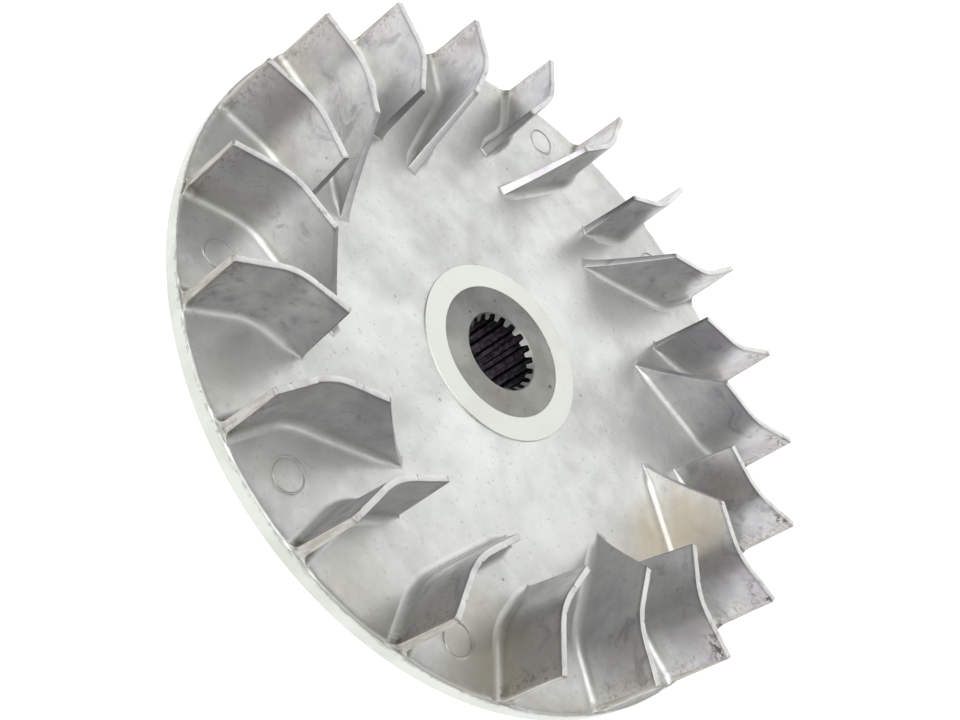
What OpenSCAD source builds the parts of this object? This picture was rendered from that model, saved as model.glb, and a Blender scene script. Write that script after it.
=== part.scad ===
// Fan flywheel: the outer drive face of a small engine's belt drive, with its cooling fan.
// A die-cast aluminium plate carries bent blades, alternately long and short, on its fan side.
// A steel insert with an internal spline is cast into the hub.
// The origin is on the spin axis at the hub's rear face, and +Z points out of the fan side.

/* [Plate] */
// Outside diameter of the turned rim
rim_d = 150; // [140:1:170]
// Height of the turned rim band
rim_h = 4; // [3:0.1:4.5]
// Radial width of the rim band
rim_w = 3; // [2:0.5:4]
// Height of the rim's upper edge above the hub's rear face
rim_top_z = 17.5; // [17:0.1:22]
// Angle by which the fan face falls towards the hub, in degrees
dish_angle = 1.9; // [1:0.1:2.2]
// Angle of the conical belt face, in degrees
belt_angle = 14; // [10:0.5:14]
// Chamfer on the turned edges of the rim and hub
edge_chamfer = 0.4; // [0.2:0.1:0.6]

/* [Hub] */
// Outside diameter of the turned hub ring
hub_d = 40.4; // [38:0.1:46]
// Height of the hub ring above the fan face beside it
hub_proud = 0.3; // [0.1:0.1:1]
// Outside diameter of the steel insert
insert_d = 30; // [26:1:32]
// Depth of the insert's front face below the hub ring
insert_recess = 0.1; // [0:0.1:1]
// Number of retention grooves round the insert
retention_count = 2; // [1:1:3]
// Depth of the retention grooves
retention_depth = 1; // [0.5:0.1:1.2]
// Width of the retention grooves
retention_w = 2; // [1:0.1:2.5]

/* [Spline] */
// Number of spline grooves
spline_count = 19; // [17:1:21]
// Diameter at the bottom of the grooves
spline_major_d = 17.7; // [17:0.1:19]
// Diameter at the tips of the teeth
spline_minor_d = 15.7; // [15:0.1:16.5]
// Groove width at the tips of the teeth
groove_mouth_w = 1.6; // [1.3:0.1:1.7]
// Groove width at the bottom
groove_bottom_w = 1.2; // [0.8:0.1:1.3]
// Clearance of the chamfers at the spline's mouths outside its grooves
spline_chamfer = 0.2; // [0.1:0.1:1]

/* [Blades] */
// Number of blades, long and short in turn
blade_count = 20; // [16:2:22]
// Height of the blade tops above the rim's upper edge
blade_h = 15.3; // [10:0.1:20]
// Width of the flat land along a blade's top
blade_land = 1.2; // [1:0.1:2]
// Draft of each blade wall, in degrees
blade_draft = 1.5; // [0.5:0.1:2.5]
// Radius of the fillet along a blade's root
root_r = 1.8; // [1.5:0.1:2.5]
// Radius from the spin axis at which the two leaves of a blade would meet
bend_at_r = 61.4; // [60:0.1:63]
// Angle of the bend between the two leaves, in degrees
bend_angle = 35; // [25:0.5:40]
// Mid-line radius of the bend
bend_r = 12; // [8:0.5:14]
// Radius of a long blade's inner end, at the root
long_root_r = 43; // [40:0.5:46]
// Radius of a short blade's inner end, at the root
short_root_r = 51.9; // [50:0.1:53]
// Radius of a blade's inner corner, at the top
inner_top_r = 52.6; // [52:0.1:54]
// Setback of a blade's outer corner from the rim's edge, at the top
outer_top_setback = 1.3; // [0.8:0.1:3]
// Setback of a blade's outer end from the rim's edge, at the root
outer_root_setback = 0.4; // [0.4:0.1:0.7]

/* [Ejector marks] */
// Number of round ejector-pin marks in the fan face
mark_count = 10; // [8:1:11]
// Diameter of the marks
mark_d = 6.4; // [5:0.1:8]
// Diameter of the circle that the marks lie on
mark_circle_d = 133; // [128:1:134]
// Depth of the marks
mark_depth = 0.15; // [0.1:0.05:0.4]

/* [Hidden] */
$fn = 96;
rim_r = rim_d / 2;
web_r = rim_r - rim_w;
rim_bottom_z = rim_top_z - rim_h;
hub_r = hub_d / 2;
insert_r = insert_d / 2;
hub_top_z = fan_z(hub_r) + hub_proud;
insert_top_z = hub_top_z - insert_recess;
retention_r = insert_r - retention_depth;
retention_pitch = insert_top_z / (retention_count + 1);
spline_major_r = spline_major_d / 2;
spline_minor_r = spline_minor_d / 2;
blade_pitch = 360 / blade_count;
blade_top_z = rim_top_z + blade_h;
half_land = blade_land / 2;
half_root = half_land + blade_h * tan(blade_draft);
// The root fillet is cut short at its foot, which leaves a small step in place of a feather edge
fillet_start = 255;
fillet_step = 25;
bend_step = bend_angle / 5;
// Distance from the leaves' meeting point to each end of the bend
bend_tangent = bend_r * tan(bend_angle / 2);
bend_x = bend_at_r + bend_tangent;
// Overshoot of cutting bodies
eps = 0.5;

// Section across a blade, from its foot up: [half width, height above the fan face] at each level
BLADE_LEVELS = concat(
    [for (a = [fillet_start : -fillet_step : 180])
        [half_root + root_r * (1 + cos(a)), root_r * (1 + sin(a))]],
    [[half_land, blade_h]]
);

function fan_z(r) = rim_top_z - (rim_r - r) * tan(dish_angle);
function belt_z(r) = rim_bottom_z - (web_r - r) * tan(belt_angle);
function blade_name(n) = str("blade_", n < 10 ? "0" : "", n);

BLADES = [for (n = [1 : blade_count]) n];

// Plate between the hub and the rim band: flat on the fan side, conical on the belt side
module plate() {
    color("gainsboro")
    difference() {
        rotate_extrude()
            polygon([
                [hub_r, belt_z(hub_r)],
                [web_r, rim_bottom_z],
                [web_r, fan_z(web_r)],
                [hub_r, fan_z(hub_r)]
            ]);
        ejector_marks();
    }
}

// Shallow round dents left by the ejector pins, midway between two blades
module ejector_marks() {
    for (i = [0 : mark_count - 1])
        rotate([0, 0, i * 360 / mark_count + blade_pitch / 2])
            translate([mark_circle_d / 2, 0, fan_z(mark_circle_d / 2)])
                rotate([0, -dish_angle, 0])
                    translate([0, 0, -mark_depth])
                        cylinder(d = mark_d, h = mark_depth + eps);
}

// Turned outer band, with chamfered edges
module rim_band() {
    color("ivory")
    rotate_extrude()
        polygon([
            [web_r, rim_bottom_z],
            [rim_r - edge_chamfer, rim_bottom_z],
            [rim_r, rim_bottom_z + edge_chamfer],
            [rim_r, rim_top_z - edge_chamfer],
            [rim_r - edge_chamfer, fan_z(rim_r - edge_chamfer)],
            [web_r, fan_z(web_r)]
        ]);
}

// Turned hub of the casting, with ribs that fill the insert's retention grooves
module hub_ring() {
    color("whitesmoke")
    union() {
        rotate_extrude()
            polygon([
                [insert_r, 0],
                [hub_r - edge_chamfer, 0],
                [hub_r, edge_chamfer],
                [hub_r, hub_top_z - hub_proud],
                [hub_r - hub_proud, hub_top_z],
                [insert_r, hub_top_z]
            ]);
        for (i = [1 : retention_count])
            translate([0, 0, i * retention_pitch - retention_w / 2])
                rotate_extrude()
                    translate([retention_r, 0])
                        square([retention_depth, retention_w]);
    }
}

// Steel insert that carries the spline
module spline_insert() {
    color("darkgray")
    difference() {
        cylinder(r = insert_r, h = insert_top_z);
        for (i = [1 : retention_count])
            translate([0, 0, i * retention_pitch - retention_w / 2])
                rotate_extrude()
                    translate([retention_r, 0])
                        square([retention_depth + eps, retention_w]);
        translate([0, 0, -eps])
            linear_extrude(insert_top_z + 2 * eps)
                spline_outline();
        spline_mouth(0, 1);
        spline_mouth(insert_top_z, -1);
    }
}

// Hole of the spline in plan: the teeth's tip circle with a groove for each tooth of the shaft
module spline_outline() {
    circle(r = spline_minor_r);
    intersection() {
        circle(r = spline_major_r);
        for (i = [0 : spline_count - 1])
            rotate(180 + i * 360 / spline_count)
                polygon([
                    [spline_minor_r - eps, -groove_mouth_w / 2],
                    [spline_major_r + eps, -groove_bottom_w / 2],
                    [spline_major_r + eps, groove_bottom_w / 2],
                    [spline_minor_r - eps, groove_mouth_w / 2]
                ]);
    }
}

// Chamfer cutter at a mouth of the spline: into is 1 when the metal lies above z, and -1 below it
module spline_mouth(z, into) {
    mouth_r = spline_major_r + spline_chamfer;
    translate([0, 0, z])
        mirror([0, 0, into > 0 ? 0 : 1])
            translate([0, 0, -eps])
                cylinder(r1 = mouth_r + eps, r2 = spline_minor_r, h = mouth_r - spline_minor_r + eps);
}

// Distance along the inner leaf, from the leaves' meeting point, at which the radius is r
function leaf_reach(r) = bend_at_r * cos(bend_angle) - sqrt(r * r - pow(bend_at_r * sin(bend_angle), 2));

// Mid-line of a blade from its outer end to its inner end: [point, direction across the blade]
function blade_line(outer_x, reach) = concat(
    [[[outer_x, 0], 90]],
    [for (a = [0 : bend_step : bend_angle + bend_step / 2])
        [[bend_x - bend_r * sin(a), bend_r * (1 - cos(a))], 90 - a]],
    [[[bend_at_r - reach * cos(bend_angle), reach * sin(bend_angle)], 90 - bend_angle]]
);

// A level's outline: in along one side of the mid-line and back along the other
function level_outline(line, half_w, h) = concat(
    [for (i = [0 : len(line) - 1]) side_point(line[i], half_w, h)],
    [for (i = [len(line) - 1 : -1 : 0]) side_point(line[i], -half_w, h)]
);

function side_point(station, offset, h) =
    let (p = station[0] + offset * [cos(station[1]), sin(station[1])])
    [p[0], p[1], h < blade_h ? fan_z(norm(p)) + h : blade_top_z];

function between(low, high, h) = low + (high - low) * h / blade_h;

function quad(a, b, c, d) = [[a, b, c], [a, c, d]];

// Blade n: a loft through its levels, with a root fillet along both sides
module blade(n) {
    root_end_r = n % 2 == 1 ? long_root_r : short_root_r;
    levels = [
        for (level = BLADE_LEVELS)
            let (
                outer_x = rim_r - between(outer_root_setback, outer_top_setback, level[1]),
                reach = leaf_reach(between(root_end_r, inner_top_r, level[1]))
            )
            level_outline(blade_line(outer_x, reach), level[0], level[1])
    ];
    ring = len(levels[0]);
    top = len(levels) - 1;
    walls = [
        for (k = [0 : top - 1])
            for (i = [0 : ring - 1])
                let (j = (i + 1) % ring)
                each quad(k * ring + i, (k + 1) * ring + i, (k + 1) * ring + j, k * ring + j)
    ];
    caps = [
        for (i = [0 : ring / 2 - 2])
            each concat(
                quad(i, i + 1, ring - 2 - i, ring - 1 - i),
                quad(
                    top * ring + ring - 1 - i,
                    top * ring + ring - 2 - i,
                    top * ring + i + 1,
                    top * ring + i
                )
            )
    ];
    color("silver")
    rotate([0, 0, (n - 1) * blade_pitch])
        polyhedron(points = [for (level = levels) each level], faces = concat(walls, caps));
}

plate();
rim_band();
hub_ring();
spline_insert();
for (n = BLADES)
    blade(n);
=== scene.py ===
"""Fan flywheel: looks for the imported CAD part. Lengths in the shape code are in millimetres."""
import math

import bpy
import numpy as np
from mathutils import Matrix, Vector


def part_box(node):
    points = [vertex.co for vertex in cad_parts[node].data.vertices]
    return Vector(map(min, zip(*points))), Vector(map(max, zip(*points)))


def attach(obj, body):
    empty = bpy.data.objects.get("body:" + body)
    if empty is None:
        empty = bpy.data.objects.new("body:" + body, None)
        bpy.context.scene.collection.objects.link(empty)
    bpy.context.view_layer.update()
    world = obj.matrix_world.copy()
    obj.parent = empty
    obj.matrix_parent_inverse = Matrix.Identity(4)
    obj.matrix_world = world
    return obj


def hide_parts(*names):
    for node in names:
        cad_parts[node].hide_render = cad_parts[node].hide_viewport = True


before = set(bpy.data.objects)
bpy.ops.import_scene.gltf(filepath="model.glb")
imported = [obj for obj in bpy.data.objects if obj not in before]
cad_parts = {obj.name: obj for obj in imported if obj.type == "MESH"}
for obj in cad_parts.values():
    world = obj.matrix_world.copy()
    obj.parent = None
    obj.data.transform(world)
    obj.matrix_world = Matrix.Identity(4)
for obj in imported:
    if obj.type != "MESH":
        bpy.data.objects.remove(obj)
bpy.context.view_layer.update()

MM = 0.001


def box_mm(node):
    """A CAD node's lowest and highest corner, in millimetres."""
    low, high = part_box(node)
    return np.array(low) / MM, np.array(high) / MM


# ---------------------------------------------------------------- sizes from the frame
RIM_LOW, RIM_HIGH = box_mm("rim_band")
RIM_R = min(*RIM_HIGH[:2], *-RIM_LOW[:2])
RIM_BOTTOM_Z = RIM_LOW[2]
RIM_TOP_Z = RIM_HIGH[2]
HUB_R, _, HUB_TOP_Z = box_mm("hub_ring")[1]
INSERT_R, _, INSERT_TOP_Z = box_mm("spline_insert")[1]
BLADES = sorted(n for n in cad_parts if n.startswith("blade_"))
BLADE_TOP_Z = box_mm(BLADES[0])[1][2]

# ---------------------------------------------------------------- shape values, as in the CAD model
DISH = math.tan(math.radians(1.9))
BELT = math.tan(math.radians(14))
WEB_R = RIM_R - 3
RIM_EDGE_Z = 17.5
BLADE_H = BLADE_TOP_Z - RIM_EDGE_Z
HALF_LAND = 0.6
DRAFT = math.tan(math.radians(1.5))
ROOT_R = 1.8
OUTER_ROOT_SETBACK = 0.4
OUTER_TOP_SETBACK = 1.3
BEND_AT_R = 61.4
BEND = math.radians(35)
BEND_R = 12.0
LONG_ROOT_R = 43.0
SHORT_ROOT_R = 51.9
INNER_TOP_R = 52.6
PITCH = 2 * math.pi / len(BLADES)
MARKS = 10
MARK_R = 3.2
MARK_CIRCLE_R = 66.5
TEETH = 19
SPLINE_MAJOR_R = 8.85
SPLINE_MINOR_R = 7.85
SPLINE_CHAMFER = 0.2

# ---------------------------------------------------------------- details that only the looks have
# radii of a blade's rounded edges, of the fillet round its inner end, and of its tips' corners
EDGE_R = 0.1
END_ROOT_R = 0.5
OUTER_TIP_R = 0.45
INNER_TIP_R = 0.3
# distance from its inner end within which a blade's root fillet shrinks to the end's own
INNER_FADE = 4.0
# distances from a blade's inner end of the last stations of its mid-line, close together for the fillet
NEAR_END = (3.0, 2.4, 1.8, 1.3, 0.9, 0.5, 0.2, 0)
# number of chips in a blade's top edges, and half the length of each as a share of the blade's own
CHIPS = 7
CHIP_LENGTH = 0.008
# vertices round the plate and the rim, and round the hub
RIM_SEGMENTS = 720
HUB_SEGMENTS = 360
# radii of the casting's rounded edge, each with its share of the drop to the turned band
CAST_EDGE = ((74.45, 0.12), (74.7, 0.35), (74.86, 0.65))
CAST_EDGE_START_R = 74.0
# how far inside the rim's surface the casting's border lies, and a blade's outer end at the least
INSIDE_RIM = 0.06
BLADE_INSIDE_RIM = 0.03
# the turned band's border: its mean depth below the fan face, how far it dips in a notch beside a blade's
# foot and rises at the foot's middle, and then, round the rim, the notch's distance from that middle, the
# notch's width and the foot's half-width
BORDER_DROP = 0.4
NOTCH_DROP = 0.45
NOTCH_FROM_FOOT = 3.1
NOTCH_W = 0.9
HALF_FOOT = 1.7
# half-widths of the window that is left open round an ejector mark: along the radius, and in segments
WINDOW = 4.6
WINDOW_SEGMENTS = 9
# depth of an ejector mark's middle below the fan face
MARK_DEPTH = 0.05
# rings across plain faces, which keep their quads short: the rim's underside and side, the hub's front
# face, and the insert's rear and front faces
RIM_UNDERSIDE_R = 73.5
RIM_SIDE_ZS = (14.6, 15.2, 15.8, 16.4)
HUB_FRONT_RS = (18.5, 17.0)
INSERT_REAR_R = 11.0
INSERT_FRONT_RS = (12.0, 10.2)
# height at which the rim band's hidden top meets its inside
RIM_INNER_TOP_Z = 16.0
# distance of the spline's outermost straight rings from the insert's faces, and number of straight rings
SPLINE_END = 1.6
SPLINE_RINGS = 8
# half-widths of a spline groove at its mouth and at its bottom, before its corners are rounded
HALF_MOUTH = 0.8
HALF_BOTTOM = 0.58


def fan_z(r):
    """Height of the fan face at radius r."""
    return RIM_EDGE_Z - (RIM_R - r) * DISH


def belt_z(r):
    """Height of the belt face at radius r."""
    return RIM_BOTTOM_Z - (WEB_R - r) * BELT


def ripple(x, y, z, size, seed):
    """Smooth unevenness between about -1 and 1, with features of about the given size."""
    k = 2 * math.pi / size
    rng = np.random.default_rng(seed)
    total = 0.0
    for _ in range(5):
        d = rng.normal(size=3)
        d /= np.linalg.norm(d)
        phase = rng.uniform(0, 2 * math.pi)
        total = total + np.sin(k * rng.uniform(0.6, 1.5) * (d[0] * x + d[1] * y + d[2] * z) + phase)
    return total / 3


def fan_height(x, y):
    """The fan face with the slight unevenness of a casting."""
    return fan_z(np.hypot(x, y)) + 0.035 * ripple(x, y, 0 * x, 17, 3)


# ---------------------------------------------------------------- mesh helpers
def new_piece(name, shape, material, node, sharp_deg):
    """A shown piece of the object, standing for the given CAD node."""
    mesh = bpy.data.meshes.new(name)
    mesh.from_pydata((np.asarray(shape.points) * MM).tolist(), [], shape.faces)
    mesh.validate()
    mesh.update()
    mesh.shade_smooth()
    mesh.set_sharp_from_angle(angle=math.radians(sharp_deg))
    mesh.materials.append(material)
    piece = bpy.data.objects.new(name, mesh)
    bpy.context.scene.collection.objects.link(piece)
    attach(piece, "root")
    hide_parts(node)
    return piece


def strip(a, b):
    """Quads between two rings of vertex numbers of equal length."""
    n = len(a)
    return [(a[i], a[(i + 1) % n], b[(i + 1) % n], b[i]) for i in range(n)]


def circle(r, turn, z):
    """Points of a circle at radius r and height z, either of which may vary round it."""
    return np.c_[r * np.cos(turn), r * np.sin(turn), np.broadcast_to(z, turn.shape)]


def full_turn(segments):
    """Evenly spaced angles round the axis."""
    return np.arange(segments) * 2 * math.pi / segments


class Shape:
    """Vertices and faces, gathered ring by ring."""

    def __init__(self):
        self.points, self.faces = [], []

    def ring(self, points):
        start = len(self.points)
        self.points.extend(np.asarray(points).tolist())
        return list(range(start, len(self.points)))

    def join(self, a, b):
        self.faces += strip(a, b)


def revolve(profile, turn):
    """A closed solid: a closed (radius, height) profile taken round the axis through the given angles."""
    shape = Shape()
    rings = [shape.ring(circle(r, turn, z)) for r, z in profile]
    for a, b in zip(rings, rings[1:] + rings[:1]):
        shape.join(a, b)
    return shape


# ---------------------------------------------------------------- materials
# the attribute that marks a blade's inner end, where shade is painted, and how many of half an outline's
# points lie on that end
INNER_END = "inner_end_shade"
INNER_END_POINTS = 5


class Nodes:
    """Short names for building a material's node tree."""

    def __init__(self, name):
        self.material = bpy.data.materials.new(name)
        self.material.use_nodes = True
        self.tree = self.material.node_tree
        self.tree.nodes.clear()
        self.out = self.tree.nodes.new("ShaderNodeOutputMaterial")
        self.shader = self.tree.nodes.new("ShaderNodeBsdfPrincipled")
        self.link(self.shader.outputs[0], self.out.inputs[0])
        self.coords = self.tree.nodes.new("ShaderNodeTexCoord").outputs["Object"]

    def link(self, a, b):
        self.tree.links.new(a, b)

    def put(self, socket, value):
        if isinstance(value, bpy.types.NodeSocket):
            self.link(value, socket)
        else:
            socket.default_value = value

    def noise(self, size_mm, detail=4, rough=0.55, vector=None, distortion=0.0):
        n = self.tree.nodes.new("ShaderNodeTexNoise")
        self.link(vector or self.coords, n.inputs["Vector"])
        n.inputs["Scale"].default_value = 1 / (size_mm * MM)
        n.inputs["Detail"].default_value = detail
        n.inputs["Roughness"].default_value = rough
        n.inputs["Distortion"].default_value = distortion
        return n.outputs["Fac"]

    def voronoi(self, size_mm):
        n = self.tree.nodes.new("ShaderNodeTexVoronoi")
        self.link(self.coords, n.inputs["Vector"])
        n.inputs["Scale"].default_value = 1 / (size_mm * MM)
        return n.outputs["Distance"]

    def span(self, value, low, high, to_low=0.0, to_high=1.0):
        n = self.tree.nodes.new("ShaderNodeMapRange")
        n.interpolation_type = "SMOOTHSTEP"
        for socket, v in zip(n.inputs, (value, low, high, to_low, to_high)):
            self.put(socket, v)
        return n.outputs[0]

    def math(self, op, a, b=0.0):
        n = self.tree.nodes.new("ShaderNodeMath")
        n.operation = op
        for socket, v in zip(n.inputs, (a, b)):
            self.put(socket, v)
        return n.outputs[0]

    def mix(self, share, a, b):
        n = self.tree.nodes.new("ShaderNodeMix")
        n.data_type = "RGBA"
        self.put(n.inputs[0], share)
        for socket, v in ((n.inputs[6], a), (n.inputs[7], b)):
            self.put(socket, v if isinstance(v, bpy.types.NodeSocket) else (*v, 1))
        return n.outputs[2]

    def stain(self, color, share, strength, tint):
        """A colour with a tint laid over it, where and as strongly as told."""
        return self.mix(self.math("MULTIPLY", share, strength), color, tint)

    def attribute(self, name):
        n = self.tree.nodes.new("ShaderNodeAttribute")
        n.attribute_name = name
        return n.outputs["Fac"]

    def xyz(self):
        n = self.tree.nodes.new("ShaderNodeSeparateXYZ")
        self.link(self.coords, n.inputs[0])
        return n.outputs

    def stretched(self, along_x, along_y, along_z):
        """Coordinates whose scale differs by axis, for streaks."""
        n = self.tree.nodes.new("ShaderNodeVectorMath")
        n.operation = "MULTIPLY"
        self.link(self.coords, n.inputs[0])
        n.inputs[1].default_value = (along_x, along_y, along_z)
        return n.outputs["Vector"]

    def turned_lines(self):
        """Fine lines left by turning: noise that depends only on radius and height."""
        n = self.tree.nodes.new("ShaderNodeTexNoise")
        n.noise_dimensions = "2D"
        across = self.tree.nodes.new("ShaderNodeCombineXYZ")
        self.link(self.radius(), across.inputs[0])
        self.link(self.xyz()[2], across.inputs[1])
        self.link(across.outputs[0], n.inputs["Vector"])
        n.inputs["Scale"].default_value = 6000
        n.inputs["Detail"].default_value = 2
        return n.outputs["Fac"]

    def radius(self):
        """Distance from the spin axis."""
        x, y, _ = self.xyz()
        return self.math("SQRT", self.math("ADD", self.math("MULTIPLY", x, x), self.math("MULTIPLY", y, y)))

    def spot(self, place_mm, size_mm):
        """A patch with a ragged border round a place, 1 in its middle and 0 outside it."""
        n = self.tree.nodes.new("ShaderNodeVectorMath")
        n.operation = "DISTANCE"
        self.link(self.coords, n.inputs[0])
        n.inputs[1].default_value = [c * MM for c in place_mm]
        ragged = self.math("MULTIPLY", self.noise(size_mm / 2.5, 4, 0.6), size_mm * MM)
        far = self.math("ADD", n.outputs["Value"], ragged)
        return self.span(far, size_mm * 1.4 * MM, size_mm * 0.6 * MM)

    def bump(self, height, distance_mm, strength=1.0, normal=None):
        n = self.tree.nodes.new("ShaderNodeBump")
        n.inputs["Strength"].default_value = strength
        n.inputs["Distance"].default_value = distance_mm * MM
        self.link(height, n.inputs["Height"])
        if normal is not None:
            self.link(normal, n.inputs["Normal"])
        return n.outputs[0]

    def finish(self, color, roughness, normal, metallic=1.0):
        self.put(self.shader.inputs["Base Color"], color)
        self.put(self.shader.inputs["Roughness"], roughness)
        self.put(self.shader.inputs["Metallic"], metallic)
        self.link(normal, self.shader.inputs["Normal"])
        return self.material


# place, size, strength and colour of the stains that stand out on the casting
STAINS = (
    ((35, -56, 16), 18, 0.65, (0.50, 0.475, 0.40)),
    ((10, -68, 16), 14, 0.40, (0.50, 0.480, 0.42)),
    ((53, 3.5, 24), 15, 0.85, (0.52, 0.46, 0.37)),
    ((55, 1, 25), 5, 0.25, (0.30, 0.24, 0.18)),
    ((48, 21, 21), 3, 0.50, (0.27, 0.25, 0.27)),
    ((-56, -21, 18), 10, 0.30, (0.46, 0.440, 0.37)),
    ((-60.3, 19.8, 27.5), 2.5, 0.60, (0.36, 0.37, 0.34)),
)


def cast_aluminium():
    """Cast skin of the plate and the blades, and the turned belt face."""
    n = Nodes("cast_aluminium")
    x, y, z = n.xyz()
    radius = n.radius()
    walls = n.span(z, 18.6 * MM, 21.0 * MM)
    land = n.span(z, (BLADE_TOP_Z - 0.2) * MM, (BLADE_TOP_Z - 0.08) * MM)

    # cloudy tone, brightest round the hub
    clouds = n.span(n.noise(24, 5, 0.6, distortion=0.3), 0.34, 0.66)
    mottle = n.span(n.noise(4.5, 6, 0.65), 0.33, 0.68)
    near_hub = n.span(radius, 62 * MM, 22 * MM)
    tone = n.math("ADD", n.math("MULTIPLY", clouds, 0.6), n.math("MULTIPLY", mottle, 0.4))
    color = n.mix(tone, (0.56, 0.57, 0.55), (0.68, 0.69, 0.665))
    bright = n.math("MULTIPLY", near_hub, n.span(n.noise(19, 4, 0.55), 0.36, 0.70))
    color = n.stain(color, bright, 0.8, (0.78, 0.795, 0.765))

    # walls: painted darker as shade, with a violet cast, dark smudges of painted shade and shallow pores
    wall_shade_color = n.mix(tone, (0.485, 0.465, 0.51), (0.72, 0.72, 0.71))
    color = n.stain(color, walls, 0.9, wall_shade_color)
    # painted shade: dark smudges on the walls, where their bends look dark
    shade_smudges = n.math("MULTIPLY", n.span(n.noise(7, 4, 0.6, distortion=1.5), 0.54, 0.70), walls)
    color = n.stain(color, shade_smudges, 0.45, (0.25, 0.235, 0.265))
    pores = n.span(n.noise(1.1, 3, 0.7), 0.60, 0.70)
    color = n.stain(color, pores, 0.35, (0.27, 0.26, 0.26))

    # warm stains towards the rim and in a few places of their own
    near_rim = n.span(radius, 55 * MM, 74 * MM)
    rim_stain = n.math("MULTIPLY", near_rim, n.span(n.noise(13, 4, 0.6), 0.42, 0.66))
    color = n.stain(color, rim_stain, 0.4, (0.47, 0.445, 0.375))
    for place, size, strength, tint in STAINS:
        color = n.stain(color, n.spot(place, size), strength, tint)

    # speckled oxide at the blades' outer ends, and brown chips at their tips on the +X side
    speckle = n.span(n.noise(0.9, 4, 0.7), 0.50, 0.62)
    outer_end = n.math("MULTIPLY", n.span(radius, 68.5 * MM, 73.5 * MM), walls)
    speckle = n.math("MULTIPLY", outer_end, speckle)
    color = n.stain(color, speckle, 0.6, (0.25, 0.22, 0.16))
    tips = n.math("MULTIPLY", n.span(z, 28 * MM, 32 * MM), n.span(x, 15 * MM, 40 * MM))
    tips = n.math("MULTIPLY", tips, n.span(radius, 65 * MM, 71 * MM))
    tips = n.math("MULTIPLY", tips, n.span(y, -48 * MM, -25 * MM))
    chips = n.math("MULTIPLY", tips, n.span(n.noise(1.3, 3, 0.6), 0.50, 0.58))
    color = n.stain(color, chips, 0.9, (0.10, 0.075, 0.05))

    # the outer end faces: dull, with streaks up them and painted shade in the corners at their feet
    ends = n.math("MULTIPLY", n.span(radius, 73.2 * MM, 73.6 * MM), n.span(z, 17.7 * MM, 18.4 * MM))
    streaks = n.span(n.noise(0.8, 3, 0.6, vector=n.stretched(1, 1, 0.12)), 0.35, 0.65)
    end_color = n.mix(streaks, (0.38, 0.36, 0.31), (0.56, 0.55, 0.51))
    color = n.stain(color, ends, 0.85, end_color)
    # painted shade: dark brown in the corners at the feet of the outer ends
    shaded_feet = n.math("MULTIPLY", n.span(radius, 70.5 * MM, 73.5 * MM), n.span(z, 22.5 * MM, 18 * MM))
    shaded_feet = n.math("MULTIPLY", shaded_feet, n.span(z, 17.3 * MM, 17.9 * MM))
    shaded_feet = n.math("MULTIPLY", shaded_feet, n.span(n.noise(2.0, 4, 0.6), 0.42, 0.62))
    color = n.stain(color, shaded_feet, 0.65, (0.16, 0.14, 0.10))

    # the inner end faces, painted darker above their feet as shade
    inner_end_shade = n.math("MULTIPLY", n.attribute(INNER_END), n.span(z, 19 * MM, 26 * MM, 0.25, 0.85))
    color = n.mix(inner_end_shade, color, (0.25, 0.24, 0.26))

    # lands rubbed bright, with a dark band just below them, partly grime and partly painted shade
    near_top = n.span(z, (BLADE_TOP_Z - 1.1) * MM, (BLADE_TOP_Z - 0.3) * MM)
    grime_and_shade = n.math("SUBTRACT", near_top, land)
    color = n.stain(color, grime_and_shade, 0.45, (0.20, 0.19, 0.18))
    patchy = n.span(n.noise(2.8, 3, 0.6), 0.30, 0.60, 0.10, 0.55)
    worn = n.math("ADD", patchy, n.span(x, -40 * MM, 40 * MM, 0.0, 0.4))
    color = n.stain(color, land, worn, (0.76, 0.76, 0.73))

    # a few dark specks, scattered over everything
    far_from_speck = n.math("ADD", n.voronoi(9.0), n.math("MULTIPLY", n.noise(0.5, 2), 0.08))
    specks = n.span(far_from_speck, 0.085, 0.062)
    color = n.stain(color, specks, 0.5, (0.10, 0.095, 0.10))

    # the belt face underneath is turned, and polished by the belt
    belt = n.span(z, 14.9 * MM, 14.5 * MM)
    lines = n.turned_lines()
    polish = n.mix(n.span(radius, 70 * MM, 45 * MM), (0.52, 0.525, 0.51), (0.70, 0.71, 0.69))
    polish = n.mix(n.span(lines, 0.3, 0.7, 0.0, 0.25), polish, (0.40, 0.40, 0.39))
    color = n.mix(belt, color, polish)
    roughness = n.mix(belt, n.span(tone, 0.0, 1.0, 0.44, 0.34), (0.3, 0.3, 0.3))

    # grain and waves of the cast skin, and the turned lines of the belt face
    cast = n.math("SUBTRACT", 1.0, belt)
    grain_height = n.math("MULTIPLY", n.noise(0.7, 3, 0.6), cast)
    fine = n.bump(n.math("ADD", grain_height, n.math("MULTIPLY", lines, belt)), 0.012)
    wave_height = n.math("MULTIPLY", n.noise(3.0, 3, 0.5), cast)
    normal = n.bump(wave_height, 0.05, 0.8, fine)
    return n.finish(color, roughness, normal)


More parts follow.
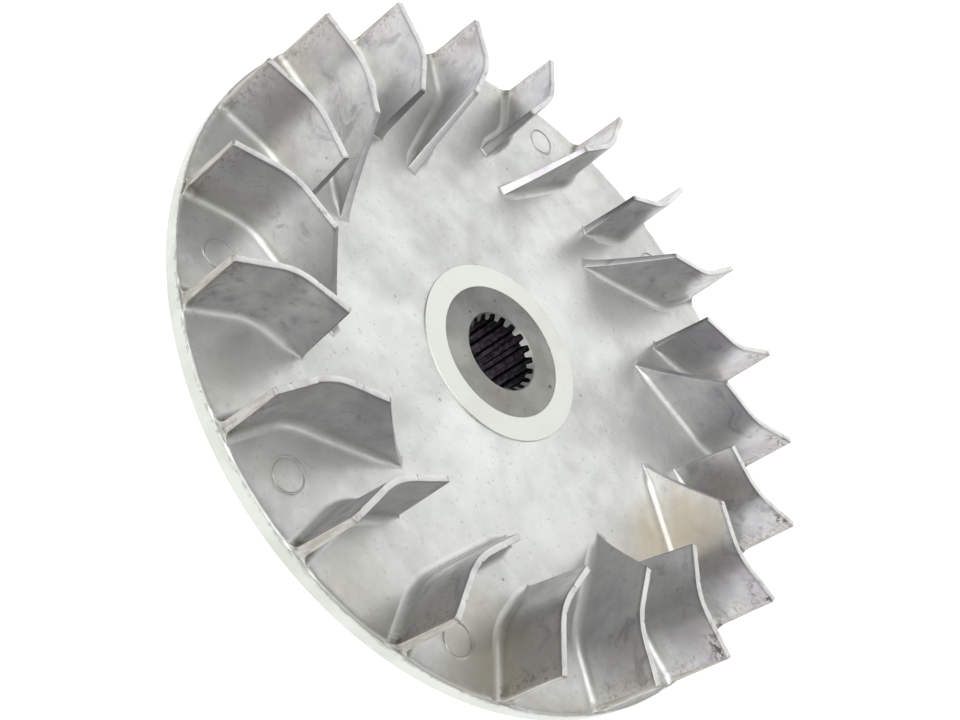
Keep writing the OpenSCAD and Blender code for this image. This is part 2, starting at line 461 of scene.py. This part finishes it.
def turned_aluminium():
    """Bright turned rim band and hub ring."""
    n = Nodes("turned_aluminium")
    z = n.xyz()[2]
    lines = n.turned_lines()
    mottle = n.span(n.noise(9, 5, 0.6), 0.35, 0.65)
    hub = n.mix(mottle, (0.685, 0.70, 0.66), (0.75, 0.765, 0.725))
    rim = n.mix(mottle, (0.66, 0.69, 0.63), (0.76, 0.79, 0.74))
    color = n.mix(n.span(n.radius(), 30 * MM, 50 * MM), hub, rim)
    # a dark band along the rim's upper border, partly oxide and partly painted shade, and faint smears round
    # the band
    border = n.math("MULTIPLY", n.span(z, (RIM_TOP_Z - 1.3) * MM, (RIM_TOP_Z - 0.3) * MM),
                    n.span(n.noise(1.1, 3, 0.6), 0.46, 0.60))
    color = n.stain(color, border, 0.6, (0.27, 0.28, 0.29))
    smears = n.span(n.noise(14, 4, 0.6, distortion=1.0), 0.50, 0.68)
    color = n.stain(color, smears, 0.25, (0.60, 0.59, 0.50))
    line_tone = n.span(lines, 0.3, 0.7, 0.0, 0.12)
    color = n.mix(line_tone, color, (0.45, 0.46, 0.44))
    return n.finish(color, n.span(mottle, 0.0, 1.0, 0.30, 0.38), n.bump(lines, 0.01))


def insert_steel():
    """Grey steel of the insert, with its bore painted near-black as shade."""
    n = Nodes("insert_steel")
    x, y, z = n.xyz()
    radius = n.radius()
    # below the chamfers at its mouths, the spline is painted near-black as shade deep in the bore
    mouth = (SPLINE_MAJOR_R + SPLINE_CHAMFER) * MM
    above = n.math("SUBTRACT", n.math("ADD", n.math("SUBTRACT", z, INSERT_TOP_Z * MM), mouth),
                   n.math("MINIMUM", radius, mouth))
    bore = n.span(above, -0.02 * MM, -0.2 * MM)
    mottle = n.span(n.noise(6, 5, 0.6), 0.35, 0.65)
    # darker towards -X and +Y as painted shade, with a pale patch and a brownish one
    across = n.math("SUBTRACT", n.math("MULTIPLY", x, 0.87), n.math("MULTIPLY", y, 0.5))
    across = n.math("ADD", across, n.math("MULTIPLY", n.noise(5, 3), 8 * MM))
    light = n.span(across, -10 * MM, 6 * MM)
    face = n.mix(light, n.mix(mottle, (0.165, 0.17, 0.155), (0.225, 0.23, 0.21)),
                 n.mix(mottle, (0.27, 0.27, 0.25), (0.33, 0.33, 0.31)))
    face = n.stain(face, n.spot((-6, -11, INSERT_TOP_Z), 6), 0.6, (0.40, 0.405, 0.375))
    face = n.stain(face, n.spot((7, -10, INSERT_TOP_Z), 6), 0.6, (0.245, 0.23, 0.21))
    pits = n.math("MAXIMUM", n.span(n.noise(1.6, 2, 0.5), 0.70, 0.76), n.spot((12.7, 5.4, INSERT_TOP_Z), 0.8))
    face = n.stain(face, pits, 0.85, (0.05, 0.05, 0.035))
    # painted shade: the near-black of the deep bore
    dark = n.mix(n.span(n.noise(1.2, 4, 0.6), 0.35, 0.65), (0.014, 0.012, 0.015), (0.055, 0.048, 0.058))
    color = n.mix(bore, face, dark)
    return n.finish(color, 0.42, n.bump(n.noise(0.5, 3, 0.6), 0.01))


# ---------------------------------------------------------------- plate
def turned_edge(turn):
    """Depth of the turned band's upper border below the fan face.

    It is least at the middle of a blade's foot and most beside it, and drifts slowly round the rim.
    """
    x, y = RIM_R * np.cos(turn), RIM_R * np.sin(turn)
    from_foot = np.abs((turn / PITCH + 0.5) % 1 - 0.5) * PITCH * RIM_R
    notch = np.exp(-(((from_foot - NOTCH_FROM_FOOT) / NOTCH_W) ** 2))
    foot = np.exp(-((from_foot / HALF_FOOT) ** 4))
    drift = 0.2 * ripple(x, y, 0 * x, 90, 12)
    jagged = 0.05 * ripple(x, y, 0 * x, 5, 9) + 0.06 * ripple(x, y, 0 * x, 1.8, 10)
    return np.maximum(BORDER_DROP + NOTCH_DROP * notch - NOTCH_DROP * foot + drift + jagged, 0.02)


def fan_ring(r, turn, drop=0.0):
    """Points of a circle that lies on the uneven fan face, or below it by drop."""
    x, y = r * np.cos(turn), r * np.sin(turn)
    return np.c_[x, y, fan_height(x, y) - drop]


def plate_piece(material):
    """The casting's web: uneven fan face with ejector marks, and the turned belt cone."""
    edge_r = RIM_R - INSIDE_RIM
    turn = full_turn(RIM_SEGMENTS)
    shape = Shape()

    # the fan face's rings, from the hub out
    window_in, window_out = MARK_CIRCLE_R - WINDOW, MARK_CIRCLE_R + WINDOW
    radii = np.r_[
        HUB_R, HUB_R + 0.15, HUB_R + 0.3, HUB_R + 0.6, np.linspace(HUB_R + 1.3, window_in, 44),
        np.linspace(window_in, window_out, 15)[1:], np.linspace(window_out, CAST_EDGE_START_R, 5)[1:],
    ]
    first, last = list(radii).index(window_in), int(np.argmin(abs(radii - window_out)))
    rings = [shape.ring(fan_ring(r, turn)) for r in radii]

    # its faces, with windows left open for the ejector marks
    half = WINDOW_SEGMENTS
    in_window = np.zeros(RIM_SEGMENTS, bool)
    centres = [round((i * 2 + 0.5) * PITCH / (2 * math.pi) * RIM_SEGMENTS) for i in range(MARKS)]
    for c in centres:
        in_window[c - half : c + half] = True
    for k, (a, b) in enumerate(zip(rings, rings[1:])):
        is_open = in_window & (first <= k < last)
        shape.faces += [quad for quad, left_open in zip(strip(a, b), is_open) if not left_open]
    for c in centres:
        around = (
            [rings[k][c - half] for k in range(first, last)]
            + [rings[last][i] for i in range(c - half, c + half)]
            + [rings[k][c + half] for k in range(last, first, -1)]
            + [rings[first][i] for i in range(c + half, c - half, -1)]
        )
        ejector_mark(shape, around, turn[c])

    # edge of the casting: a small cast radius down to the turned band
    drop = turned_edge(turn)
    outer = [rings[-1]]
    for r, share in (*CAST_EDGE, (edge_r, 1.0)):
        outer.append(shape.ring(fan_ring(r, turn, drop * share)))
    for a, b in zip(outer, outer[1:]):
        shape.join(a, b)

    # down inside the rim band, along the belt cone and up inside the hub
    under = [(edge_r - 0.3, RIM_EDGE_Z - 1.3), (WEB_R, RIM_BOTTOM_Z)]
    under += [(r, belt_z(r)) for r in np.linspace(WEB_R, HUB_R - 0.05, 40)[1:]]
    low = outer[-1]
    for r, z in under:
        ring = shape.ring(circle(r, turn, z))
        shape.join(low, ring)
        low = ring
    shape.join(low, rings[0])
    shape.faces = [f[::-1] for f in shape.faces]
    return new_piece("plate_casting", shape, material, "plate", 30)


def ejector_mark(shape, around, angle):
    """Fills the window round a mark: the ground up to its circle, then the groove and burr of its outline."""
    border = np.array([shape.points[i] for i in around])
    centre = MARK_CIRCLE_R * np.array([math.cos(angle), math.sin(angle)])
    away = border[:, :2] - centre
    bearing = np.arctan2(away[:, 1], away[:, 0])
    unit = np.c_[np.cos(bearing), np.sin(bearing)]
    rng = np.random.default_rng(round(1000 * angle))
    burr = 0.5 + 0.5 * np.sin(bearing * 2 + rng.uniform(0, 6))
    burr += 0.25 * np.sin(bearing * 5 + rng.uniform(0, 6))
    # radius of each ring, its height above the fan face, and its share of the burr
    profile = [
        (4.0, 0.0, 0.0), (MARK_R + 0.3, 0.0, 0.01), (MARK_R + 0.14, 0.02, 0.08),
        (MARK_R + 0.04, -0.02, 0.07), (MARK_R - 0.03, -0.2, 0.0), (MARK_R - 0.17, -0.2, 0.0),
        (MARK_R - 0.28, -0.06, 0.0), (MARK_R - 0.5, -0.04, 0.0),
        (2.0, -MARK_DEPTH, 0.0), (1.0, -MARK_DEPTH, 0.0),
    ]
    low = around
    for r, height, burr_share in profile:
        xy = centre + unit * r
        z = fan_height(xy[:, 0], xy[:, 1]) + height + burr_share * burr
        ring = shape.ring(np.c_[xy, z])
        shape.join(low, ring)
        low = ring
    middle = shape.ring([[*centre, fan_height(*centre) - MARK_DEPTH]])[0]
    n = len(low)
    shape.faces += [(low[i], low[(i + 1) % n], middle) for i in range(n)]


# ---------------------------------------------------------------- rim, hub and insert
def rim_piece(material):
    """Turned band round the rim, with its lower edge broken."""
    turn = full_turn(RIM_SEGMENTS)
    profile = [
        (WEB_R, RIM_BOTTOM_Z), (RIM_UNDERSIDE_R, RIM_BOTTOM_Z), (RIM_R - 0.4, RIM_BOTTOM_Z),
        (RIM_R - 0.1, RIM_BOTTOM_Z + 0.25), (RIM_R, RIM_BOTTOM_Z + 0.4),
        *[(RIM_R, z) for z in RIM_SIDE_ZS],
    ]
    # up to the uneven border, over it and back down to the inside
    border_z = fan_z(RIM_R) - turned_edge(turn)
    profile += [
        (RIM_R, border_z - 0.1), (RIM_R - 0.05, border_z), (RIM_R - 0.2, border_z),
        (RIM_R - 0.5, border_z - 0.6), (WEB_R, RIM_INNER_TOP_Z),
    ]
    shape = revolve(profile, turn)
    return new_piece("rim_turned", shape, material, "rim_band", 25)


def hub_piece(material):
    """Turned hub of the casting, with broken edges."""
    profile = [
        (INSERT_R, 0.0), (HUB_R - 0.4, 0.0), (HUB_R - 0.1, 0.2), (HUB_R, 0.45), (HUB_R, HUB_TOP_Z - 0.5),
        (HUB_R, HUB_TOP_Z - 0.05), (HUB_R - 0.05, HUB_TOP_Z), *[(r, HUB_TOP_Z) for r in HUB_FRONT_RS],
        (INSERT_R + 0.1, HUB_TOP_Z), (INSERT_R, HUB_TOP_Z - 0.05), (INSERT_R, HUB_TOP_Z - 0.4),
    ]
    shape = revolve(profile, full_turn(HUB_SEGMENTS))
    return new_piece("hub_turned", shape, material, "hub_ring", 25)


def spline_outline():
    """The spline's outline as (angle, radius): one groove with rounded corners, repeated round the bore."""
    pitch = 2 * math.pi / TEETH
    mouth, bottom = HALF_MOUTH / SPLINE_MINOR_R, HALF_BOTTOM / SPLINE_MAJOR_R
    # half a groove, from the middle of a tooth to its own middle: angle, and share of the groove's depth
    half = [
        (-pitch / 2, 0.0), (-pitch / 2 * 0.82, 0.0),
        (-mouth * 1.22, 0.0), (-mouth * 1.06, 0.06), (-mouth * 0.97, 0.2),
        (-bottom * 1.35, 0.6), (-bottom * 1.22, 0.84), (-bottom * 1.0, 0.96), (-bottom * 0.6, 1.0),
        (0.0, 1.0),
    ]
    groove = half + [(-a, h) for a, h in half[-2:0:-1]]
    step = SPLINE_MAJOR_R - SPLINE_MINOR_R
    return np.array([
        (math.pi + i * pitch + a, SPLINE_MINOR_R + h * step) for i in range(TEETH) for a, h in groove
    ])


def insert_piece(material):
    """Steel insert with its spline, chamfered at both mouths."""
    outline = spline_outline()
    angle, radius = outline[:, 0], outline[:, 1]
    mouth_r = SPLINE_MAJOR_R + SPLINE_CHAMFER

    # down the bore, out along the rear face, up the outside and in over the front face
    depth = mouth_r - radius
    profile = [(radius, INSERT_TOP_Z - depth)]
    profile += [(radius, z) for z in np.linspace(INSERT_TOP_Z - SPLINE_END, SPLINE_END, SPLINE_RINGS)]
    profile += [
        (radius, depth), (mouth_r, 0.0), (INSERT_REAR_R, 0.0), (INSERT_R - 0.25, 0.0), (INSERT_R, 0.25),
        (INSERT_R, INSERT_TOP_Z - 0.03), (INSERT_R - 0.03, INSERT_TOP_Z),
        *[(r, INSERT_TOP_Z) for r in INSERT_FRONT_RS],
        (mouth_r + 0.03, INSERT_TOP_Z), (mouth_r - 0.03, INSERT_TOP_Z - 0.05),
    ]
    shape = revolve(profile, angle)
    return new_piece("insert_steel", shape, material, "spline_insert", 30)


# ---------------------------------------------------------------- blades
def blade_heights():
    """Heights of a blade's levels above the fan face: its foot, fillet, wall and rounded top edge."""
    fillet = [ROOT_R * (1 + math.sin(math.radians(a))) for a in np.linspace(270, 180, 11)[1:]]
    wall = list(np.linspace(ROOT_R, BLADE_H - 1.0, 8)[1:]) + [BLADE_H - d for d in (0.6, 0.35, 0.2)]
    top = [BLADE_H - EDGE_R * (1 - math.sin(math.radians(a))) for a in (0, 35, 65, 90)]
    return [-0.3, -0.02] + fillet + wall + top


def fillet_flare(radius, h):
    """How far a root fillet of the given radius stands out from the wall at height h."""
    up = np.clip(h, 0, radius)
    return radius - np.sqrt(radius**2 - (radius - up) ** 2)


def mid_line(outer_x, reach):
    """Stations along a blade's mid-line from its outer to its inner end: points, and normals on its left."""
    tangent = BEND_R * math.tan(BEND / 2)
    bend_x = BEND_AT_R + tangent
    points = [(x, 0.0) for x in np.linspace(outer_x, bend_x, 20)[:-1]]
    normals = [(0.0, 1.0)] * len(points)
    for a in np.linspace(0, BEND, 14):
        points.append((bend_x - BEND_R * math.sin(a), BEND_R * (1 - math.cos(a))))
        normals.append((math.sin(a), math.cos(a)))
    for d in np.r_[np.linspace(tangent, reach - 3.6, 22)[1:], reach - np.array(NEAR_END)]:
        points.append((BEND_AT_R - d * math.cos(BEND), d * math.sin(BEND)))
        normals.append((math.sin(BEND), math.cos(BEND)))
    return np.array(points), np.array(normals)


def leaf_reach(r):
    """Distance along the inner leaf, from where the leaves meet, at which the radius is r."""
    return BEND_AT_R * math.cos(BEND) - math.sqrt(r * r - (BEND_AT_R * math.sin(BEND)) ** 2)


def blade_half(outer_x, reach, wall_w, h, side):
    """Half of a level's outline, from the middle of the outer end to the middle of the inner end."""
    points, normals = mid_line(outer_x - EDGE_R, reach - EDGE_R)
    from_end = np.linalg.norm(points - points[-1], axis=1)
    ease = np.clip(from_end / INNER_FADE, 0, 1)
    radius = END_ROOT_R + (ROOT_R - END_ROOT_R) * ease * ease * (3 - 2 * ease)
    half_w = wall_w + fillet_flare(radius, h)
    steps = np.radians(np.linspace(0, 90, 4))[:, None]
    sides = side * normals
    outward = np.array([1.0, 0.0])
    inward = np.array([-math.cos(BEND), math.sin(BEND)])
    start = points[0] + sides[0] * (half_w[0] - EDGE_R)
    end = points[-1] + sides[-1] * (half_w[-1] - EDGE_R)
    return np.vstack([
        points[0] + outward * EDGE_R,
        start + EDGE_R * (np.cos(steps) * outward + np.sin(steps) * sides[0]),
        points[1:-1] + half_w[1:-1, None] * sides[1:-1],
        end + EDGE_R * (np.sin(steps) * inward + np.cos(steps) * sides[-1]),
        points[-1] + inward * EDGE_R,
    ])


def tip_rounding(h, radius):
    """How far a blade's end is drawn back at height h, where its tip has the given radius."""
    over = min(radius, max(0.0, h - (BLADE_H - radius)))
    return radius - math.sqrt(radius**2 - over**2)


def edge_chips(number):
    """Small chips in a blade's top edges: how far along it each is, how deep, and on which side."""
    rng = np.random.default_rng(number)
    places = rng.uniform(0.02, 0.98, CHIPS)
    depths = rng.uniform(0.05, 0.22, CHIPS)
    sides = rng.choice([-1, 1], CHIPS)
    return list(zip(places, depths, sides))


def smooth_outline(h, root_r):
    """A level's outline at height h, with blade 1's direction: in along one side and back along the other."""
    share = max(0.0, h) / BLADE_H
    edge = min(1.0, max(0.0, h - (BLADE_H - EDGE_R)) / EDGE_R)
    wall_w = HALF_LAND + (BLADE_H - max(h, 0.0)) * DRAFT - EDGE_R * (1 - math.sqrt(1 - edge * edge))
    end_flare = float(fillet_flare(END_ROOT_R, h))
    outer_x = RIM_R - OUTER_ROOT_SETBACK - (OUTER_TOP_SETBACK - OUTER_ROOT_SETBACK) * share
    outer_x -= tip_rounding(h, OUTER_TIP_R)
    inner_r = root_r + (INNER_TOP_R - root_r) * share + tip_rounding(h, INNER_TIP_R)
    reach = leaf_reach(inner_r) + end_flare
    out, back = [blade_half(outer_x, reach, wall_w, h, side) for side in (1, -1)]
    return np.vstack([out, back[::-1]])


def blade_level(number, h, root_r, chips):
    """A level's points at height h, turned into place, with a casting's unevenness and chipped top edges."""
    angle = (number - 1) * PITCH
    turn = np.array([[math.cos(angle), math.sin(angle)], [-math.sin(angle), math.cos(angle)]])
    across = np.array([-math.sin(angle), math.cos(angle)])
    outline = smooth_outline(h, root_r) @ turn
    x, y = outline.T

    count = len(outline) // 2
    along = np.r_[np.linspace(0, 1, count), np.linspace(1, 0, count)]
    side = np.r_[np.ones(count), -np.ones(count)]
    near_top = np.clip((h - BLADE_H + 0.5) / 0.5, 0, 1)
    dent = sum(
        depth * np.exp(-(((along - place) / CHIP_LENGTH) ** 2)) * (side == chip_side)
        for place, depth, chip_side in chips
    )
    waviness = 0.045 * ripple(x, y, 0 * x + h, 12, number) * max(0.0, h) / BLADE_H
    rough_edge = 0.03 * ripple(x, y, 0 * x + h, 2.2, 40 + number) * near_top
    outline = outline + (waviness + rough_edge - side * dent * near_top)[:, None] * across
    r = np.linalg.norm(outline, axis=1)
    limit = RIM_R - BLADE_INSIDE_RIM
    outline[r > limit] *= (limit / r[r > limit])[:, None]

    # the root follows the uneven fan face, and the top is nearly level
    x, y = outline.T
    blend = np.clip((h - 4) / (BLADE_H - 4), 0, 1)
    wear = 0.05 + 0.03 * ripple(x, y, 0 * x, 7, 60 + number) + 0.5 * dent
    top_z = BLADE_TOP_Z - BLADE_H + h - near_top * wear
    z = (fan_height(x, y) + h) * (1 - blend) + top_z * blend
    return np.c_[outline, z]


def blade_piece(name, material):
    """One blade: its levels joined from the foot up, then closed at the top and the base."""
    number = int(name.split("_")[1])
    is_long = number % 2 == 1
    root_r = LONG_ROOT_R if is_long else SHORT_ROOT_R
    chips = edge_chips(number)
    shape = Shape()
    rings = [shape.ring(blade_level(number, h, root_r, chips)) for h in blade_heights()]
    for a, b in zip(rings, rings[1:]):
        shape.join(b, a)
    top, base, n = rings[-1], rings[0], len(rings[-1])
    shape.faces += [(top[n - 1 - i], top[n - 2 - i], top[i + 1], top[i]) for i in range(n // 2 - 1)]
    shape.faces += [(base[i], base[i + 1], base[n - 2 - i], base[n - 1 - i]) for i in range(n // 2 - 1)]
    piece = new_piece(name + "_casting", shape, material, name, 50)

    # painted shade: a short blade's steep inner end is painted darker than a long blade's sloping one
    end_shade = 0.3 if is_long else 1.0
    at_inner_end = np.abs(np.arange(n) - (n - 1) / 2) < INNER_END_POINTS
    marked = piece.data.attributes.new(INNER_END, "FLOAT", "POINT")
    marked.data.foreach_set("value", np.tile((end_shade * at_inner_end).astype(np.float32), len(rings)))
    return piece


# ---------------------------------------------------------------- studio
# strength of the floor's own light
FLOOR_GLOW = 0.93
# half the floor's width, and its distance below the part, both in metres
FLOOR_HALF = 3.0
FLOOR_GAP = 0.0001
# strength of the even sky
SKY = 0.36
# azimuth and elevation of a soft light's middle, its half-width, all in degrees, and its strength
SOFT_LIGHTS = (
    (240, 42, 52, 1.95),
    (90, 25, 50, 0.95),
    (0, 45, 32, 0.8),
)

# camera: the point it looks at, and its angles and distance from there, in millimetres and degrees
CAMERA_AIM = (-2.1, -9.38, 17.5)
CAMERA_AZIMUTH = -6.98
CAMERA_ELEVATION = 39.98
CAMERA_DISTANCE = 239.6
CAMERA_ROLL = 56.8
CAMERA_LENS = 44.73


def add_camera():
    """Camera at the viewing angle, rolled about its own axis."""
    azimuth, elevation = math.radians(CAMERA_AZIMUTH), math.radians(CAMERA_ELEVATION)
    back = Vector((
        math.sin(azimuth) * math.cos(elevation),
        -math.cos(azimuth) * math.cos(elevation),
        math.sin(elevation),
    ))
    data = bpy.data.cameras.new("camera")
    data.lens = CAMERA_LENS
    data.sensor_width = 36
    data.clip_start = 0.01
    camera = bpy.data.objects.new("camera", data)
    level = back.to_track_quat("Z", "Y").to_matrix().to_4x4()
    roll = Matrix.Rotation(math.radians(CAMERA_ROLL), 4, "Z")
    place = Matrix.Translation((Vector(CAMERA_AIM) + back * CAMERA_DISTANCE) * MM)
    camera.matrix_world = place @ level @ roll
    bpy.context.scene.collection.objects.link(camera)
    bpy.context.scene.camera = camera


def pale_floor():
    """Floor of a dim grey with a strong glow, which makes it look white and throws soft light upwards."""
    n = Nodes("pale_floor")
    tone = n.span(n.noise(60, 3), 0.3, 0.7)
    color = n.mix(tone, (0.19, 0.19, 0.19), (0.21, 0.21, 0.21))
    n.shader.inputs["Emission Color"].default_value = (1, 1, 1, 1)
    n.shader.inputs["Emission Strength"].default_value = FLOOR_GLOW
    n.finish(color, 0.9, n.bump(n.noise(0.8, 2), 0.02), metallic=0.0)
    # its back lets the view from below through
    sides = n.tree.nodes.new("ShaderNodeMixShader")
    n.link(n.tree.nodes.new("ShaderNodeNewGeometry").outputs["Backfacing"], sides.inputs[0])
    n.link(n.shader.outputs[0], sides.inputs[1])
    n.link(n.tree.nodes.new("ShaderNodeBsdfTransparent").outputs[0], sides.inputs[2])
    n.link(sides.outputs[0], n.out.inputs[0])
    return n.material


def add_floor():
    """The plain floor that the part lies on, just clear of it."""
    mesh = bpy.data.meshes.new("floor")
    half = FLOOR_HALF
    corners = [(-half, -half), (half, -half), (half, half), (-half, half)]
    mesh.from_pydata([(x, y, -FLOOR_GAP) for x, y in corners], [], [(0, 1, 2, 3)])
    mesh.materials.append(pale_floor())
    floor = bpy.data.objects.new("floor", mesh)
    bpy.context.scene.collection.objects.link(floor)


def add_world():
    """An even sky with large soft lights in it."""
    world = bpy.data.worlds.new("studio")
    bpy.context.scene.world = world
    world.use_nodes = True
    tree = world.node_tree
    direction = tree.nodes.new("ShaderNodeTexCoord").outputs["Generated"]
    total = None
    for azimuth, elevation, half_width, strength in SOFT_LIGHTS:
        azimuth, elevation = math.radians(azimuth), math.radians(elevation)
        facing = tree.nodes.new("ShaderNodeVectorMath")
        facing.operation = "DOT_PRODUCT"
        tree.links.new(direction, facing.inputs[0])
        facing.inputs[1].default_value = (
            math.cos(azimuth) * math.cos(elevation),
            math.sin(azimuth) * math.cos(elevation),
            math.sin(elevation),
        )
        glow = tree.nodes.new("ShaderNodeMapRange")
        glow.interpolation_type = "SMOOTHSTEP"
        tree.links.new(facing.outputs["Value"], glow.inputs["Value"])
        glow.inputs["From Min"].default_value = math.cos(math.radians(half_width))
        glow.inputs["From Max"].default_value = 1.0
        glow.inputs["To Max"].default_value = strength
        add = tree.nodes.new("ShaderNodeMath")
        add.operation = "ADD"
        add.inputs[0].default_value = SKY
        if total is not None:
            tree.links.new(total, add.inputs[0])
        tree.links.new(glow.outputs[0], add.inputs[1])
        total = add.outputs[0]
    # the backdrop itself is plain white, whatever lights the part
    seen = tree.nodes.new("ShaderNodeLightPath").outputs["Is Camera Ray"]
    shown = tree.nodes.new("ShaderNodeMix")
    tree.links.new(seen, shown.inputs["Factor"])
    tree.links.new(total, shown.inputs["A"])
    shown.inputs["B"].default_value = 1.0
    background = tree.nodes["Background"]
    background.inputs["Color"].default_value = (1, 1, 1, 1)
    tree.links.new(shown.outputs["Result"], background.inputs["Strength"])


add_camera()
add_floor()
add_world()
cast = cast_aluminium()
turned = turned_aluminium()
plate_piece(cast)
rim_piece(turned)
hub_piece(turned)
insert_piece(insert_steel())
for blade_name in BLADES:
    blade_piece(blade_name, cast)
bpy.context.scene.view_settings.view_transform = "Standard"
